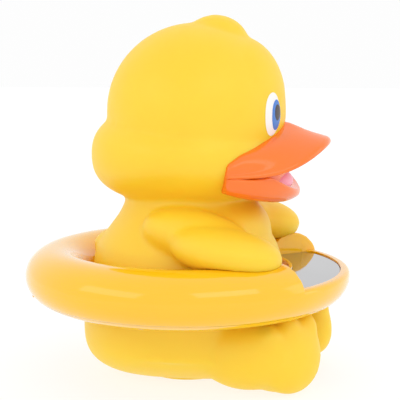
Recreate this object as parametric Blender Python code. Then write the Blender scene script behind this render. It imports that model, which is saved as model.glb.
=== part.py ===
"""Floating duck bath thermometer: a soft duck sitting in a rigid swim ring.

The ring is a hollow two-part shell that holds the display, the circuit board,
the two button cells and the water probe. A flange inside the ring is clamped
between the duck's upper skin and its lower skin by two plates and four screws.

Frame: metres, +Z up, the duck looks along -Y, its left side is at +X, and the
origin is on the ground below the ring's centre. Angles round the ring are
measured from the front towards the duck's left.
"""
import math

import bmesh
import bpy
from mathutils import Matrix, Vector
from mathutils.bvhtree import BVHTree

MM = 0.001
GAP = 0.3 * MM                      # clearance between neighbouring pieces

# Levels are measured from a datum plane; the ground is DATUM above it, and the
# assembly empty lowers the whole object by that much
DATUM = 2.2 * MM

# Ring: a torus of elliptical section
RING_RADIUS = 39.8 * MM             # centre of the tube
RING_HALF_WIDTH = 9.2 * MM          # tube section, half of its radial width
RING_HALF_HEIGHT = 8.07 * MM        # tube section, half of its height
RING_LEVEL = 32.7 * MM              # height of the tube's centre
RING_WALL = 1.6 * MM
SHELL_RIM = 27.35 * MM              # lower edge of the upper shell
COVER_TOP = 26.7 * MM               # upper face of the bottom cover
SEAL_LOW, SEAL_HIGH = 26.85 * MM, 27.2 * MM
RING_SCREW_ANGLES = (48, 98, 145, -145, -98, -48)
BOSS_RADIUS = 2.4 * MM
RING_SEGMENTS = 40

# Display pocket in the front of the ring
POCKET_HALF_ANGLE = 40
POCKET_INNER, POCKET_OUTER = 31.8 * MM, 46.2 * MM
WINDOW_LOW, WINDOW_HIGH = 33.2 * MM, 34.2 * MM
POCKET_FLOOR = 32.2 * MM
LIP_TOP, END_LIP = 34.65 * MM, 0.4              # flat lip round the window; its width at the ends, deg
LCD_SIZE = (24.0 * MM, 9.0 * MM, 1.3 * MM)
LCD_LEVEL = 31.25 * MM
BOARD_LEVEL, BOARD_THICKNESS = 28.5 * MM, 0.8 * MM
BOARD_HALF_ANGLE = 27
BOARD_SCREW_ANGLES = (24.5, -24.5)

# Battery bay in the rear of the ring
CELL_RADIUS, CELL_HEIGHT = 5.8 * MM, 5.4 * MM
CELL_LOW = 27.7 * MM
CELL_ANGLE = 8.8
BAY_HALF_ANGLE = 17.9
BAY_INNER, BAY_OUTER = 33.7 * MM, 45.9 * MM
BAY_ROOF = 34.2 * MM
DOOR_HALF_ANGLE = 26.4
DOOR_SCREW_ANGLE = 22.9

# Flange, plates and screws that hold the duck in the ring
FLANGE_LOW, FLANGE_HIGH = 30.4 * MM, 32.4 * MM
UPPER_LIP_TOP = 34.6 * MM
LOWER_LIP = 28.2 * MM
LIP_HOLE = 18.5 * MM
PLATE_RADIUS = 25.0 * MM
PLATE_THICKNESS = 2.0 * MM
BODY_SCREW_CIRCLE = 22.4 * MM
BODY_SCREW_ANGLES = (45, 135, -135, -45)

# Duck
HEAD_CENTRE = Vector((0, -2.7, 81.2)) * MM
HEAD_SEMI = Vector((26.6, 26.7, 26.1)) * MM
CHEEK_CENTRE = Vector((0, 0.2, 68.5)) * MM
CHEEK_SEMI = Vector((28.6, 28.6, 15.0)) * MM
CHEEK_SQUARENESS = 2.5
SKIN = 2.2 * MM
BASE_HOLE = 14.0 * MM
PLUG_SEAT = DATUM + 3.4 * MM        # inner face that the base plug is held against
EYE_ANGLE, EYE_LEVEL = 25.5, 81.0 * MM
EYE_HALF_WIDTH, EYE_HALF_HEIGHT = 4.1 * MM, 6.4 * MM
BEAK_HALF_ANGLE = 64
BEAK_STEPS = 16
BEAK_ROOT = 14.0                    # mm, how far the bill's block reaches into the face
STEM_RADIUS, STEM_LEVEL = 4.0 * MM, 68.0 * MM
TONGUE_ROOT = 27.9 * MM
WING_RISE, WING_LEAD = 2.2, 1.4      # the left wing is held this much higher and further ahead, mm
FOOT_LEAD = 2.4                     # the left foot is set this far ahead of the right, mm

YELLOW = (0.95, 0.68, 0.05)
GLOSS_YELLOW = (0.96, 0.62, 0.04)
ORANGE = (1.0, 0.22, 0.03)
STEEL = (0.62, 0.62, 0.60)


def clear_scene():
    for item in list(bpy.data.objects):
        bpy.data.objects.remove(item)


def material(name, colour, roughness, metallic=0.0):
    made = bpy.data.materials.get(name)
    if made is None:
        made = bpy.data.materials.new(name)
        made.use_nodes = True
        shader = made.node_tree.nodes["Principled BSDF"]
        shader.inputs["Base Color"].default_value = (*colour, 1)
        shader.inputs["Roughness"].default_value = roughness
        shader.inputs["Metallic"].default_value = metallic
    return made


def finish_mesh(name, mesh_data, surface=None):
    """Turn a bmesh into an object with smooth shading and its material."""
    bmesh.ops.recalc_face_normals(mesh_data, faces=mesh_data.faces)
    mesh = bpy.data.meshes.new(name)
    mesh_data.to_mesh(mesh)
    mesh_data.free()
    mesh.shade_smooth()
    mesh.set_sharp_from_angle(angle=math.radians(35))
    made = bpy.data.objects.new(name, mesh)
    bpy.context.scene.collection.objects.link(made)
    if surface is not None:
        mesh.materials.append(surface)
    return made


def bake(made):
    """Apply every modifier of an object to its mesh."""
    bpy.context.view_layer.update()
    graph = bpy.context.evaluated_depsgraph_get()
    result = bpy.data.meshes.new_from_object(made.evaluated_get(graph), depsgraph=graph)
    surfaces = [slot for slot in made.data.materials]
    made.modifiers.clear()
    made.data = result
    result.materials.clear()
    for surface in surfaces:
        result.materials.append(surface)


def combine(made, tool, operation="DIFFERENCE"):
    """Cut, join or intersect an object with a tool, which is used up."""
    change = made.modifiers.new("combine", "BOOLEAN")
    change.operation = operation
    change.object = tool
    tool.hide_render = True
    bake(made)
    bpy.data.objects.remove(tool)


def clean(made, within=0.03 * MM):
    """Merge the slivers that cuts leave on a curved skin."""
    work = bmesh.new()
    work.from_mesh(made.data)
    bmesh.ops.triangulate(work, faces=work.faces)
    bmesh.ops.remove_doubles(work, verts=work.verts, dist=within)
    bmesh.ops.dissolve_degenerate(work, dist=within, edges=work.edges)
    bmesh.ops.triangulate(work, faces=work.faces)
    work.to_mesh(made.data)
    work.free()


def polar(radius, degrees, height=0.0):
    """A point round the ring; 0 degrees is the front, +90 the duck's left."""
    turn = math.radians(degrees)
    return Vector((radius * math.sin(turn), -radius * math.cos(turn), height))


def turned(name, profile, surface=None, segments=32, centre=(0, 0, 0)):
    """A solid of revolution about +Z from a closed (radius, height) outline."""
    work = bmesh.new()
    rings = []
    for radius, height in profile:
        if radius < 1e-7:
            rings.append([work.verts.new(Vector((0, 0, height)) + Vector(centre))])
        else:
            rings.append([work.verts.new(polar(radius, 360 * k / segments, height) + Vector(centre))
                          for k in range(segments)])
    for here, there in zip(rings, rings[1:] + rings[:1]):
        if len(here) == 1 and len(there) == 1:
            continue
        for k in range(segments):
            after = (k + 1) % segments
            if len(here) == 1:
                work.faces.new((here[0], there[k], there[after]))
            elif len(there) == 1:
                work.faces.new((here[k], there[0], here[after]))
            else:
                work.faces.new((here[k], there[k], there[after], here[after]))
    return finish_mesh(name, work, surface)


def disc(name, radius, low, high, surface=None, centre=(0, 0), segments=32):
    outline = [(0, low), (radius, low), (radius, high), (0, high)]
    return turned(name, outline, surface, segments, (centre[0], centre[1], 0))


def hoop(name, inner, outer, low, high, surface=None, centre=(0, 0), segments=64):
    outline = [(inner, low), (outer, low), (outer, high), (inner, high)]
    return turned(name, outline, surface, segments, (centre[0], centre[1], 0))


def sector(name, inner, outer, start, stop, low, high, surface=None, steps=16):
    """An annular sector: a slice of a flat ring between two angles."""
    work = bmesh.new()
    slices = []
    for k in range(steps + 1):
        turn = start + (stop - start) * k / steps
        corners = [(inner, low), (outer, low), (outer, high), (inner, high)]
        slices.append([work.verts.new(polar(radius, turn, height)) for radius, height in corners])
    for here, there in zip(slices, slices[1:]):
        for k in range(4):
            work.faces.new((here[k], here[(k + 1) % 4], there[(k + 1) % 4], there[k]))
    work.faces.new(slices[0][::-1])
    work.faces.new(slices[-1])
    return finish_mesh(name, work, surface)


def box(name, centre, size, surface=None, turn=0.0):
    work = bmesh.new()
    place = (Matrix.Translation(centre) @ Matrix.Rotation(math.radians(turn), 4, "Z")
             @ Matrix.Diagonal((*size, 1)))
    bmesh.ops.create_cube(work, size=1.0, matrix=place)
    return finish_mesh(name, work, surface)


def screw(name, place, head_low, tip, head_radius, shank_radius, head_height, surface):
    """A pan-head screw pointing up, with a slot cut in its head."""
    outline = [(0, head_low), (head_radius * 0.8, head_low),
               (head_radius, head_low + head_height * 0.4), (head_radius, head_low + head_height),
               (shank_radius, head_low + head_height), (shank_radius, tip - shank_radius),
               (0, tip)]
    made = turned(name, outline, surface, 10, (place.x, place.y, 0))
    combine(made, box("slot", (place.x, place.y, head_low),
                      (head_radius * 1.3, head_radius * 0.3, head_height * 0.9)))
    return made


def ring_outline(wall, low, high, count):
    """Half outline of the tube's section, from the outer side over to the inner side."""
    half_width, half_height = RING_HALF_WIDTH - wall, RING_HALF_HEIGHT - wall
    lift = (low if high is None else high) - RING_LEVEL
    start = math.asin(max(-1.0, min(1.0, lift / half_height)))
    if high is None:
        turns = [start + (math.pi - 2 * start) * k / count for k in range(count + 1)]
    else:
        turns = [start - (math.pi + 2 * start) * k / count for k in range(count + 1)]
    return [(RING_RADIUS + half_width * math.cos(turn), RING_LEVEL + half_height * math.sin(turn))
            for turn in turns]


def blob(work, centre, semi, turn=(0, 0, 0), squareness=2.0, detail=3):
    """Add an ellipsoid to a bmesh; squareness above 2 squares it off across X."""
    place = (Matrix.Translation(Vector(centre) * MM)
             @ Matrix.Rotation(math.radians(turn[2]), 4, "Z")
             @ Matrix.Rotation(math.radians(turn[1]), 4, "Y")
             @ Matrix.Rotation(math.radians(turn[0]), 4, "X"))
    made = bmesh.ops.create_icosphere(work, subdivisions=detail, radius=1.0)
    for vertex in made["verts"]:
        way = vertex.co.normalized()
        side = (abs(way.y) ** squareness + abs(way.z) ** squareness) ** (2 / squareness)
        reach = 1 / math.sqrt(way.x ** 2 + side)
        vertex.co = place @ Vector([semi[k] * MM * way[k] * reach for k in range(3)])


def skin_from(name, work, voxel, smooth_steps, keep):
    """Fuse overlapping closed shapes into one smooth skin and thin its mesh out."""
    made = finish_mesh(name, work)
    fuse = made.modifiers.new("fuse", "REMESH")
    fuse.mode = "VOXEL"
    fuse.voxel_size = voxel
    even = made.modifiers.new("even", "SMOOTH")
    even.factor = 0.5
    even.iterations = smooth_steps
    thin = made.modifiers.new("thin", "DECIMATE")
    thin.ratio = keep
    bake(made)
    return made


def torso_outline(inset):
    """Outline of the duck's trunk from the ring up into its head, (radius, height) in mm."""
    points = [(28.8, 30), (28.6, 34), (28.3, 38), (26.9, 42), (23.7, 46.5), (20.7, 50.5),
              (18.7, 54.5), (18.3, 60), (17.0, 68)]
    return ([(0, points[0][1] * MM)] + [((radius - inset) * MM, height * MM) for radius, height in points]
            + [(0, points[-1][1] * MM)])


def duck_outer(name, voxel, keep):
    work = bmesh.new()
    trunk = turned("trunk", torso_outline(0), segments=40)
    work.from_mesh(trunk.data)
    bpy.data.objects.remove(trunk)
    blob(work, HEAD_CENTRE / MM, HEAD_SEMI / MM, detail=4)
    blob(work, CHEEK_CENTRE / MM, CHEEK_SEMI / MM, squareness=CHEEK_SQUARENESS, detail=4)
    blob(work, (0, -14.8, 84.5), (20.0, 14.4, 19.0), detail=4)    # forehead
    blob(work, (0, -8.4, 100.6), (8.5, 10.2, 9.4))            # tuft on the crown
    blob(work, (0, -4.0, 45.0), (21.0, 21.5, 15.0))           # chest
    blob(work, (0, 23.0, 40.5), (8.0, 6.0, 4.5))              # tail
    for side in (-1, 1):
        up, ahead = (WING_RISE, WING_LEAD) if side > 0 else (0.0, 0.0)
        blob(work, (side * 20.5, -7.0 - ahead, 46.0 + up), (9.5, 17.0, 8.0), (14, 0, 0))
        blob(work, (side * 27.3, -15.3 - ahead, 43.6 + up), (11.5, 15.8, 6.6), (10, 0, 0),
             squareness=2.3)
    return skin_from(name, work, voxel, 6, keep)


def duck_inner():
    work = bmesh.new()
    trunk = turned("trunk", torso_outline(SKIN / MM + 0.2), segments=32)
    work.from_mesh(trunk.data)
    bpy.data.objects.remove(trunk)
    for centre, semi in ((HEAD_CENTRE, HEAD_SEMI), (CHEEK_CENTRE, CHEEK_SEMI)):
        squareness = CHEEK_SQUARENESS if centre is CHEEK_CENTRE else 2.0
        blob(work, centre / MM, (semi - Vector((SKIN, SKIN, SKIN))) / MM, squareness=squareness)
    return skin_from("hollow", work, 2.5 * MM, 2, 0.07)


def ring_clearance(name, gap):
    """The ring's whole torus, grown by a gap, as a cutting tool."""
    count = 20
    outline = [(RING_RADIUS + (RING_HALF_WIDTH + gap) * math.cos(2 * math.pi * k / count),
                RING_LEVEL + (RING_HALF_HEIGHT + gap) * math.sin(2 * math.pi * k / count))
               for k in range(count)]
    return turned(name, outline, segments=64)


def make_duck_body(vinyl):
    """Upper skin: head, cheeks, trunk and wings in one hollow moulding."""
    body = duck_outer("duck_body", 1.3 * MM, 0.045)
    body.data.materials.append(vinyl)
    combine(body, box("below", (0, 0, 12.7 * MM), (0.12, 0.12, 40 * MM)))
    combine(body, ring_clearance("ring", 1.5 * GAP))
    hollow = duck_inner()
    combine(hollow, box("below", (0, 0, UPPER_LIP_TOP - 20 * MM), (0.12, 0.12, 40 * MM)))
    combine(body, hollow)
    combine(body, disc("mouth", LIP_HOLE, 30 * MM, 36 * MM, segments=40))
    for turn in BODY_SCREW_ANGLES:
        place = polar(BODY_SCREW_CIRCLE, turn)
        combine(body, disc("hole", 2.9 * MM, 31 * MM, 36 * MM, centre=place, segments=16))
    combine(body, stem("socket", STEM_RADIUS + GAP, 15 * MM, 35 * MM))
    return body


def stem(name, radius, start, stop):
    """A plug along the duck's facing direction, at the beak's height."""
    made = disc(name, radius, start, stop, segments=20)
    made.data.transform(Matrix.Translation((0, 0, STEM_LEVEL)) @ Matrix.Rotation(math.pi / 2, 4, "X"))
    return made


def mix(low, high, share):
    return low + (high - low) * share


def beak_outline(side):
    """Closed (radius, height) outline of the open bill, in mm; side is 0 in front, 1 at a corner.

    It runs from the brow over the upper bill, round its rim, along the palate to
    the throat, and out again over the lower bill to the chin.
    """
    front = math.cos(side * math.pi / 2)
    shut = min(1.0, max(0.0, (side - 0.62) / 0.2))
    brow = 78.6 - 9.6 * side ** 0.85 - 1.6 * max(0.0, side - 0.85) / 0.15
    chin = 54.9 + 4.3 * side ** 2
    lip = mix(0.35, 1.0, front)
    rim, rim_level = mix(28.5, 40.1, front ** 1.8), mix(64.2, 72.7, front ** 4.5)
    jaw = mix(28.4, 31.2, front ** 0.6)
    jaw_level = min(rim_level - 2 * lip - 0.3, mix(63.2, 58.1, max(0.0, (front - 0.62) / 0.38)))
    roof, floor = mix(63.9, 65.6, front), mix(62.7, 60.3, front)
    throat = mix(mix(27.9, 27.4, front), jaw - 1.2 * lip, shut)
    return [
        (BEAK_ROOT, brow),
        (27.6, brow + 0.1),
        (mix(28.3, 32.5, front), mix(brow, rim_level, mix(0.5, 0.58, front)) + 0.8 * front),
        (rim - 1.7 * lip, rim_level + 1.75 * lip),
        (rim - 0.5 * lip, rim_level + 1.2 * lip),
        (rim, rim_level),
        (rim - lip, rim_level - 1.1 * lip),
        (mix(throat, rim, 0.45), mix(roof, rim_level - mix(0.5, 1.0, front), 0.5)),
        (throat, roof),
        (throat, floor),
        (jaw - 1.1 * lip, jaw_level + 0.8 * lip),
        (jaw, jaw_level + 0.2 * lip),
        (jaw - 0.2 * lip, jaw_level - 1.3 * lip),
        (mix(28.2, 30.3, front), mix(chin + 1.2, chin + 1.3, front)),
        (mix(27.9, 28.2, front), chin + 0.1),
        (BEAK_ROOT, chin),
    ]


def beak_sections():
    """The bill's outlines in place, from one mouth corner to the other."""
    heart = Vector((0, HEAD_CENTRE.y, 0))
    sections = []
    for k in range(BEAK_STEPS + 1):
        share = 2 * k / BEAK_STEPS - 1
        outline = beak_outline(abs(share))
        sections.append([polar(radius * MM, BEAK_HALF_ANGLE * share, height * MM) + heart
                         for radius, height in outline])
    return sections


def make_beak(plastic):
    """Open bill, shaped to the face and held by a stem in the head."""
    work = bmesh.new()
    rows = [[work.verts.new(point) for point in outline] for outline in beak_sections()]
    count = len(rows[0])
    for here, there in zip(rows, rows[1:]):
        for k in range(count):
            work.faces.new((here[k], here[(k + 1) % count], there[(k + 1) % count], there[k]))
    work.faces.new(rows[0][::-1])
    work.faces.new(rows[-1])
    bmesh.ops.triangulate(work, faces=work.faces)
    beak = finish_mesh("beak", work, plastic)
    face = duck_outer("face", 1.3 * MM, 0.045)
    grow = face.modifiers.new("grow", "DISPLACE")
    grow.strength = GAP
    grow.mid_level = 0.0
    bake(face)
    combine(beak, face)
    combine(beak, stem("stem", STEM_RADIUS, 22 * MM, 33 * MM), "UNION")
    combine(beak, tongue_shape("tongue_seat", GAP, None))
    clean(beak)
    return beak


def tongue_shape(name, grow, plastic):
    """A short rounded tongue that lies on the lower bill."""
    work = bmesh.new()
    blob(work, (0, -26.5, 60.8), [size + grow / MM for size in (10.8, 5.2, 3.5)], detail=3)
    tongue = finish_mesh(name, work, plastic)
    combine(tongue, disc("throat", TONGUE_ROOT - grow, 50 * MM, 75 * MM, segments=64))
    return tongue


def make_eye(name, side, enamel, body):
    """A thin oval pad that follows the head just outside its skin."""
    tree = BVHTree.FromObject(body, bpy.context.evaluated_depsgraph_get())
    heart = Vector((0, HEAD_CENTRE.y, EYE_LEVEL))
    spokes, rings = 20, 3
    work = bmesh.new()
    layers = []
    for lift in (GAP, GAP + 0.6 * MM):
        rows = []
        for ring in range(rings + 1):
            row = []
            for spoke in range(spokes if ring else 1):
                turn = 2 * math.pi * spoke / spokes
                across = EYE_HALF_WIDTH * ring / rings * math.cos(turn)
                rise = EYE_HALF_HEIGHT * ring / rings * math.sin(turn)
                angle = side * (EYE_ANGLE + math.degrees(across / HEAD_SEMI.x))
                way = (polar(1.0, angle) * HEAD_SEMI.x + Vector((0, 0, rise))).normalized()
                far = heart + way * 80 * MM
                spot = tree.ray_cast(far, -way)[0]
                row.append(work.verts.new(spot + way * lift))
            rows.append(row)
        layers.append(rows)
    for rows in layers:
        for k in range(spokes):
            after = (k + 1) % spokes
            work.faces.new((rows[0][0], rows[1][k], rows[1][after]))
            for here, there in zip(rows[1:], rows[2:]):
                work.faces.new((here[k], there[k], there[after], here[after]))
    for k in range(spokes):
        after = (k + 1) % spokes
        work.faces.new((layers[0][-1][k], layers[1][-1][k], layers[1][-1][after], layers[0][-1][after]))
    return finish_mesh(name, work, enamel)


def seat_outer():
    work = bmesh.new()
    blob(work, (0, 0.2, 16.6), (29.5, 31.6, 15.4), squareness=3.0, detail=4)
    waist = turned("waist", [(0, 12 * MM), (29.4 * MM, 12 * MM), (29.6 * MM, 30.8 * MM),
                             (0, 30.8 * MM)], segments=40)
    work.from_mesh(waist.data)
    bpy.data.objects.remove(waist)
    for side in (-1, 1):
        blob(work, (side * 19.8, -19.5, 14.0), (10.0, 16.0, 11.2), (0, 0, side * 18))
        blob(work, (side * 17.0, -30.0, 7.4), (10.0, 6.5, 5.6), (0, 0, side * 40))
        ahead = FOOT_LEAD if side > 0 else 0.0
        blob(work, (side * 19.2, -32.4 - ahead, 12.9), (11.4, 6.4, 10.9), (-6, 0, side * 40),
             squareness=2.3)
        for x, y, low, high in ((25.4, -27.0, 12.0, 23.6), (20.4, -31.8, 12.0, 26.0),
                                (14.8, -36.0, 12.0, 25.2)):
            blob(work, (side * x, y - ahead, (low + high) / 2), (3.9, 4.3, (high - low) / 2))
    return skin_from("seat_body", work, 1.3 * MM, 5, 0.06)


def make_seat_body(vinyl):
    """Lower skin: the duck's bottom with its legs and webbed feet."""
    seat = seat_outer()
    seat.data.materials.append(vinyl)
    combine(seat, box("below", (0, 0, DATUM - 10 * MM), (0.12, 0.12, 20 * MM)))
    combine(seat, box("above", (0, 0, FLANGE_LOW - GAP + 10 * MM), (0.12, 0.12, 20 * MM)))
    combine(seat, ring_clearance("ring", GAP))
    work = bmesh.new()
    blob(work, (0, 0.2, 17.2), (26.9, 29.0, 13.0), squareness=3.0)
    room = turned("room", [(0, 14 * MM), (27.2 * MM, 14 * MM), (27.2 * MM, LOWER_LIP + 2 * MM),
                           (0, LOWER_LIP + 2 * MM)], segments=32)
    work.from_mesh(room.data)
    bpy.data.objects.remove(room)
    hollow = skin_from("hollow", work, 2.2 * MM, 1, 0.07)
    combine(hollow, box("above", (0, 0, LOWER_LIP + 10 * MM), (0.12, 0.12, 20 * MM)))
    combine(seat, hollow)
    combine(seat, disc("neck", LIP_HOLE, 27 * MM, 32 * MM, segments=40))
    combine(seat, disc("base_hole", BASE_HOLE, 0, 8 * MM, segments=32))
    combine(seat, disc("plug_seat", 16.8 * MM, PLUG_SEAT, 12 * MM, segments=32))
    for turn in BODY_SCREW_ANGLES:
        place = polar(BODY_SCREW_CIRCLE, turn)
        combine(seat, disc("hole", 1.7 * MM, 27 * MM, 31 * MM, centre=place, segments=12))
    return seat


def make_plates(plastic, steel):
    """Clamp plates inside the two skins, and the screws that pull them together."""
    low = UPPER_LIP_TOP + GAP
    neck = hoop("neck_plate", 9 * MM, PLATE_RADIUS, low, low + PLATE_THICKNESS, plastic, segments=32)
    top = LOWER_LIP - GAP
    seat = hoop("seat_plate", 9 * MM, PLATE_RADIUS, top - PLATE_THICKNESS, top, plastic, segments=40)
    for index, turn in enumerate(BODY_SCREW_ANGLES, 1):
        place = polar(BODY_SCREW_CIRCLE, turn)
        boss = disc("boss", 2.4 * MM, FLANGE_HIGH + GAP, low + PLATE_THICKNESS + 2.2 * MM,
                    centre=place, segments=12)
        combine(neck, boss, "UNION")
        combine(neck, disc("hole", 1.6 * MM, 30 * MM, low + PLATE_THICKNESS + 1.4 * MM,
                           centre=place, segments=12))
        combine(seat, disc("hole", 1.7 * MM, 24 * MM, 30 * MM, centre=place, segments=12))
        screw(f"body_screw_{index}", place, top - PLATE_THICKNESS - GAP - 1.4 * MM,
              low + PLATE_THICKNESS + 1.0 * MM, 2.5 * MM, 1.3 * MM, 1.4 * MM, steel)


def make_base(plastic, steel):
    """Stopper in the bottom of the lower skin, with the weight that keeps it upright."""
    lip, shelf, top = PLUG_SEAT + GAP, PLUG_SEAT + GAP + 1.2 * MM, DATUM + 10.8 * MM
    turned("base_plug", [(0, DATUM), (BASE_HOLE - GAP - 0.5 * MM, DATUM),
                         (BASE_HOLE - GAP, DATUM + 0.5 * MM), (BASE_HOLE - GAP, lip),
                         (16.5 * MM, lip), (16.5 * MM, shelf), (4.0 * MM, shelf), (3.6 * MM, top),
                         (0, top)], plastic, 32)
    hoop("ballast_weight", 4.6 * MM, 12.0 * MM, shelf + GAP, top - GAP, steel, segments=32)


def make_ring_shell(plastic):
    """Upper shell of the ring with its display pocket, battery bay, bosses and flange."""
    shell = turned("ring_upper_shell",
                   ring_outline(0, SHELL_RIM, None, 11), plastic, RING_SEGMENTS)
    hollow = turned("hollow", ring_outline(RING_WALL, SHELL_RIM - 0.4 * MM, None, 6), None,
                    RING_SEGMENTS)
    front = POCKET_HALF_ANGLE + 2.5
    combine(hollow, sector("front_block", 25 * MM, 55 * MM, -front, front,
                           POCKET_FLOOR, 50 * MM, steps=24))
    rear = DOOR_HALF_ANGLE + 1
    combine(hollow, sector("rear_block", 25 * MM, 55 * MM, 180 - rear, 180 + rear,
                           20 * MM, BAY_ROOF + 1.2 * MM, steps=20))
    for turn in RING_SCREW_ANGLES:
        place = polar(RING_RADIUS, turn)
        combine(hollow, disc("boss", BOSS_RADIUS, 20 * MM, 50 * MM, centre=place, segments=12))
    for turn in BOARD_SCREW_ANGLES:
        place = polar(RING_RADIUS, turn)
        combine(hollow, disc("post", 2.0 * MM, BOARD_LEVEL + BOARD_THICKNESS / 2 + GAP, 50 * MM,
                             centre=place, segments=12))
    combine(shell, hollow)
    combine(shell, hoop("flange", BODY_SCREW_CIRCLE - 3.2 * MM, 31.5 * MM, FLANGE_LOW, FLANGE_HIGH,
                        segments=48), "UNION")
    pocket = POCKET_HALF_ANGLE
    combine(shell, sector("opening", 25 * MM, 55 * MM, -pocket - END_LIP, pocket + END_LIP,
                          LIP_TOP, 50 * MM, steps=24))
    combine(shell, sector("pocket", POCKET_INNER, POCKET_OUTER, -pocket, pocket,
                          WINDOW_LOW - 0.15 * MM, 50 * MM, steps=24))
    combine(shell, box("view", (0, -RING_RADIUS, POCKET_FLOOR), (20 * MM, 7 * MM, 4 * MM)))
    bay = BAY_HALF_ANGLE
    combine(shell, sector("bay", BAY_INNER, BAY_OUTER, 180 - bay, 180 + bay,
                          20 * MM, BAY_ROOF, steps=14))
    for turn in (180 - bay - 3, 180 + bay + 3):
        combine(shell, box("lead_way", polar(43.4 * MM, turn, 31 * MM),
                           (11 * MM, 2.0 * MM, 2.0 * MM), None, turn))
    for turn in BODY_SCREW_ANGLES:
        place = polar(BODY_SCREW_CIRCLE, turn)
        combine(shell, disc("hole", 1.7 * MM, 29 * MM, 34 * MM, centre=place, segments=12))
    for turn in RING_SCREW_ANGLES:
        place = polar(RING_RADIUS, turn)
        combine(shell, disc("hole", 1.2 * MM, 20 * MM, 34 * MM, centre=place, segments=12))
    for turn in (180 - DOOR_SCREW_ANGLE, 180 + DOOR_SCREW_ANGLE):
        place = polar(RING_RADIUS, turn)
        combine(shell, disc("hole", 1.2 * MM, 20 * MM, 33.5 * MM, centre=place, segments=12))
    for turn in BOARD_SCREW_ANGLES:
        place = polar(RING_RADIUS, turn)
        combine(shell, disc("hole", 0.9 * MM, 20 * MM, 31.4 * MM, centre=place, segments=12))
    return shell


def cover_solid(name, plastic):
    return turned(name, ring_outline(0, None, COVER_TOP, 5), plastic, RING_SEGMENTS)


def make_ring_cover(plastic):
    """Bottom cover of the ring, open at the rear for the battery door."""
    cover = cover_solid("ring_bottom_cover", plastic)
    door = DOOR_HALF_ANGLE + 0.45
    combine(cover, sector("door_way", 25 * MM, 55 * MM, 180 - door, 180 + door,
                          20 * MM, 30 * MM, steps=16))
    for turn in RING_SCREW_ANGLES:
        counterbore(cover, turn)
    for place, radius in front_fittings():
        combine(cover, disc("hole", radius + GAP, 20 * MM, 30 * MM, centre=place, segments=16))
    combine(cover, disc("button_room", 4.3 * MM, COVER_TOP - 1.0 * MM, 30 * MM,
                        centre=polar(RING_RADIUS, 0), segments=20))
    return cover


def counterbore(made, turn):
    """A screw hole with a seat for the screw's head."""
    place = polar(RING_RADIUS, turn)
    combine(made, disc("hole", 1.5 * MM, 20 * MM, 30 * MM, centre=place, segments=12))
    combine(made, disc("seat", 2.4 * MM, 20 * MM, COVER_TOP - 0.9 * MM, centre=place, segments=16))


def front_fittings():
    """Places and radii of the button, the probe and the two water contacts."""
    return ((polar(RING_RADIUS, 0), 3.0 * MM), (polar(RING_RADIUS, -12.5), 1.9 * MM),
            (polar(RING_RADIUS, 10.5), 0.9 * MM), (polar(RING_RADIUS, 15.5), 0.9 * MM))


def make_seals(rubber):
    """Two gaskets between the shell and the cover, open where the door is."""
    edge = DOOR_HALF_ANGLE + 1.2
    for name, inner, outer in (("ring_seal_outer", 44.4, 45.5), ("ring_seal_inner", 34.1, 35.2)):
        sector(name, inner * MM, outer * MM, edge - 180, 180 - edge, SEAL_LOW, SEAL_HIGH,
               rubber, steps=48)


def make_display(glass, crystal, carbon, board_paint, black, steel):
    """Window, display panel, its two contact strips and the circuit board."""
    half = POCKET_HALF_ANGLE - 0.4
    sector("display_window", POCKET_INNER + GAP, POCKET_OUTER - GAP, -half, half,
           WINDOW_LOW, WINDOW_HIGH, glass, steps=24)
    box("lcd_panel", (0, -RING_RADIUS, LCD_LEVEL), LCD_SIZE, crystal)
    strip_low = BOARD_LEVEL + BOARD_THICKNESS / 2 + 0.15 * MM
    strip_high = LCD_LEVEL - LCD_SIZE[2] / 2 - 0.15 * MM
    for name, offset in (("contact_strip_front", -3.4), ("contact_strip_rear", 3.4)):
        box(name, (0, -RING_RADIUS + offset * MM, (strip_low + strip_high) / 2),
            (18 * MM, 1.4 * MM, strip_high - strip_low), carbon)
    half = BOARD_HALF_ANGLE
    board = sector("circuit_board", 35.6 * MM, 44.0 * MM, -half, half,
                   BOARD_LEVEL - BOARD_THICKNESS / 2, BOARD_LEVEL + BOARD_THICKNESS / 2,
                   board_paint, steps=12)
    box("controller_chip", (0, -RING_RADIUS, strip_low + 0.6 * MM), (5 * MM, 4 * MM, 1.1 * MM), black)
    for index, turn in enumerate(BOARD_SCREW_ANGLES, 1):
        place = polar(RING_RADIUS, turn)
        combine(board, disc("hole", 1.0 * MM, 20 * MM, 34 * MM, centre=place, segments=12))
        screw(f"board_screw_{index}", place, 27.2 * MM, 31.1 * MM, 1.5 * MM, 0.6 * MM,
              0.6 * MM, steel)
    turned("switch_dome", [(0, 27.65 * MM), (1.6 * MM, 27.75 * MM), (2.4 * MM, 27.95 * MM),
                           (0, 27.95 * MM)], steel, 16, polar(RING_RADIUS, 0))


def make_front_fittings(rubber, steel, gold):
    """Press button, temperature probe and water contacts under the ring's front."""
    button, probe, first, second = front_fittings()
    turned("unit_button", [(0, 24.0 * MM), (2.4 * MM, 24.1 * MM), (3.0 * MM, 24.5 * MM),
                           (3.0 * MM, 26.0 * MM), (4.0 * MM, 26.0 * MM), (4.0 * MM, 26.6 * MM),
                           (1.3 * MM, 26.6 * MM), (1.2 * MM, 27.3 * MM), (0, 27.3 * MM)],
           rubber, 20, button[0])
    turned("temperature_probe", [(0, 23.0 * MM), (1.2 * MM, 23.3 * MM), (1.9 * MM, 24.0 * MM),
                                 (1.9 * MM, 27.8 * MM), (0, 27.8 * MM)], steel, 16, probe[0])
    for index, (place, radius) in enumerate((first, second), 1):
        turned(f"water_contact_{index}", [(0, 23.9 * MM), (radius * 0.8, 24.0 * MM),
                                          (radius, 24.3 * MM), (radius, 27.8 * MM), (0, 27.8 * MM)],
               gold, 12, place)


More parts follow.
